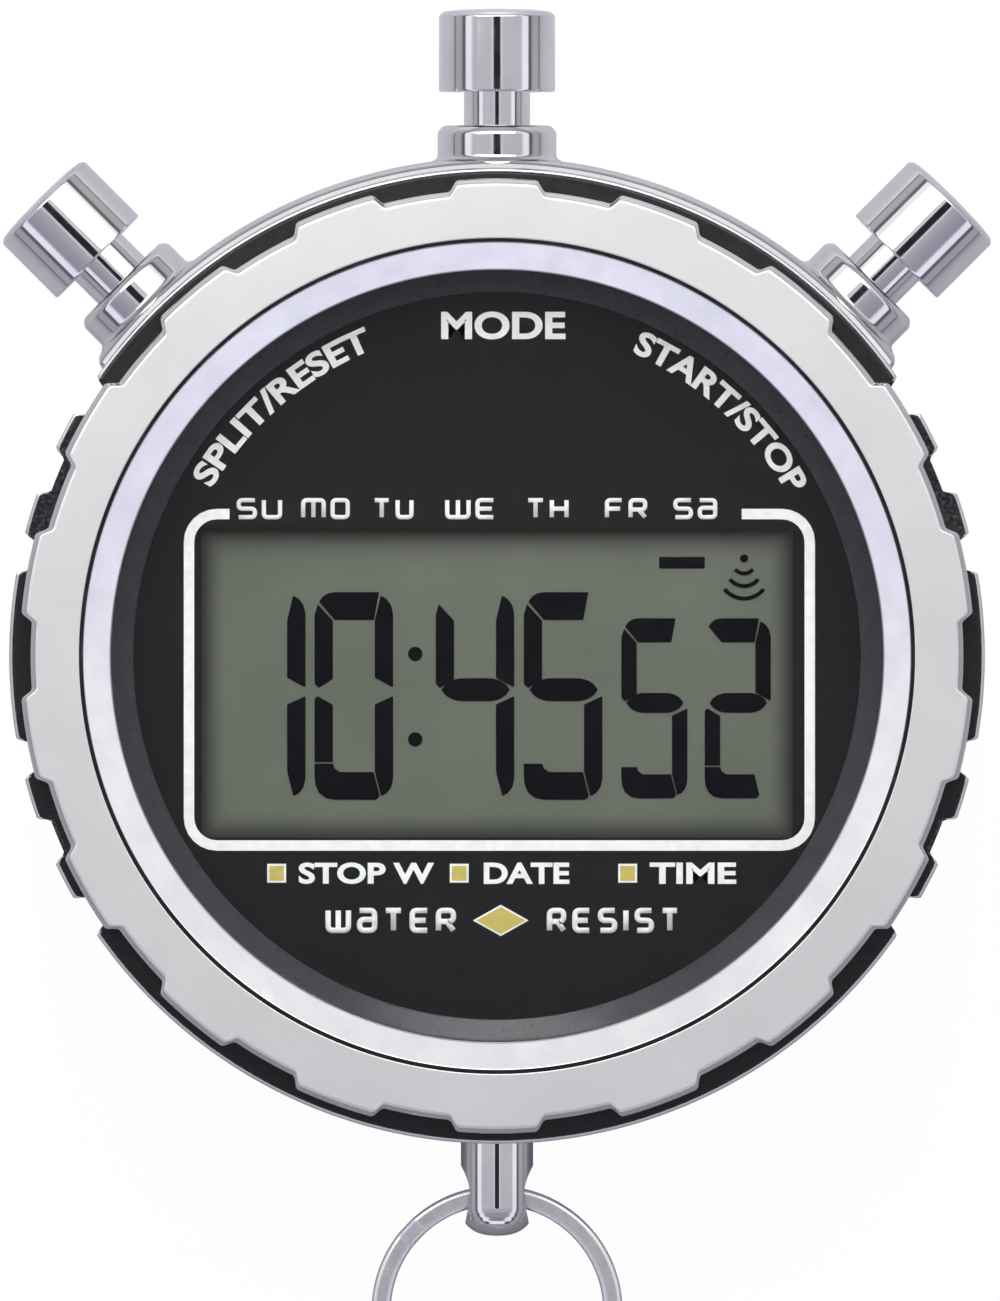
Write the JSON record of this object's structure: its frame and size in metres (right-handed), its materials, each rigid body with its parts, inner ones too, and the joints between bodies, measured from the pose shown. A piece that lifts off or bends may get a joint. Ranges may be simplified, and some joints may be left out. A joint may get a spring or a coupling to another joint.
{
  "type": "digital stopwatch",
  "caption": "Round handheld digital stopwatch: chrome case with grip lugs, notched bezel, display window, sprung push-buttons and a lanyard post with a swinging split ring.",
  "frame": {"origin": "centre of the back's flat resting pad, on the dial's axis", "axes": "+Z out of the dial, +Y from the dial's centre to the mode pusher, +X to the right of the dial"},
  "size_m": [0.0628, 0.0909, 0.0174],
  "materials": {
    "chrome_case": "chrome-plated zinc die-casting, polished",
    "satin_bezel": "satin chrome plate",
    "polished_chrome": "chrome-plated brass, turned and polished",
    "black_band": "moulded ABS",
    "dark_ring": "moulded ABS, fine matt",
    "dial_black": "screen-printed sheet",
    "clear_lens": "moulded acrylic, polished",
    "rubber_seal": "nitrile, moulded",
    "steel_back": "circular brushed stainless",
    "screw_steel": "nickel-plated",
    "spring_steel": "drawn wire",
    "display_glass": "liquid-crystal cell with polariser",
    "reflector_foil": "matt foil",
    "frame_plastic": "moulded ABS",
    "board_laminate": "solder-masked glass laminate",
    "black_epoxy": "potted epoxy",
    "nickel_plate": "nickel-plated steel",
    "conductive_rubber": "layered silicone",
    "brass_plate": "rolled sheet",
    "white_ceramic": "fired piezo ceramic"
  },
  "bodies": {
    "case": {"case_body": "chrome_case", "black_trim_ring": "black_band", "bezel": "satin_bezel", "dial_ring": "dark_ring", "lens": "clear_lens", "lens_gasket": "rubber_seal", "dial_plate": "dial_black", "back_cover": "steel_back", "back_gasket": "rubber_seal", "back_screws": "screw_steel", "lanyard_post": "polished_chrome", "lanyard_nut": "screw_steel", "module_frame": "frame_plastic", "lcd_cell": "display_glass", "lcd_reflector": "reflector_foil", "zebra_strips": "conductive_rubber", "circuit_board": "board_laminate", "chip_cover": "black_epoxy", "quartz_can": "nickel_plate", "switch_leaves": "spring_steel", "battery": "nickel_plate", "battery_holder": "black_epoxy", "battery_clip": "spring_steel", "battery_contact": "spring_steel", "piezo_plate": "brass_plate", "piezo_ceramic": "white_ceramic", "buzzer_springs": "spring_steel", "board_screws": "screw_steel", "mode_collar": "polished_chrome", "mode_spring": "spring_steel", "start_stop_collar": "polished_chrome", "start_stop_spring": "spring_steel", "split_reset_collar": "polished_chrome", "split_reset_spring": "spring_steel"},
    "mode_pusher": {"mode_cap": "polished_chrome", "mode_stem": "polished_chrome", "mode_oring": "rubber_seal", "mode_clip": "screw_steel"},
    "start_stop_pusher": {"start_stop_cap": "polished_chrome", "start_stop_stem": "polished_chrome", "start_stop_oring": "rubber_seal", "start_stop_clip": "screw_steel"},
    "split_reset_pusher": {"split_reset_cap": "polished_chrome", "split_reset_stem": "polished_chrome", "split_reset_oring": "rubber_seal", "split_reset_clip": "screw_steel"},
    "ring": {"split_ring": "spring_steel"}
  },
  "joints": [
    {"name": "mode_press", "type": "slide", "parent": "case", "child": "mode_pusher", "axis": [0, -1, 0], "range_m": [0, 0.0015], "stiffness_N_per_m": 800, "springref_m": -0.0015, "deforming": ["mode_spring"]},
    {"name": "start_stop_press", "type": "slide", "parent": "case", "child": "start_stop_pusher", "axis": [-0.7071, -0.7071, 0], "range_m": [0, 0.0015], "stiffness_N_per_m": 800, "springref_m": -0.0015, "deforming": ["start_stop_spring"]},
    {"name": "split_reset_press", "type": "slide", "parent": "case", "child": "split_reset_pusher", "axis": [0.7071, -0.7071, 0], "range_m": [0, 0.0015], "stiffness_N_per_m": 800, "springref_m": -0.0015, "deforming": ["split_reset_spring"]},
    {"name": "ring_swing", "type": "hinge", "parent": "case", "child": "ring", "pos_m": [0, -0.03433, 0.009], "axis": [1, 0, 0], "range_deg": [-100, 100]}
  ]
}
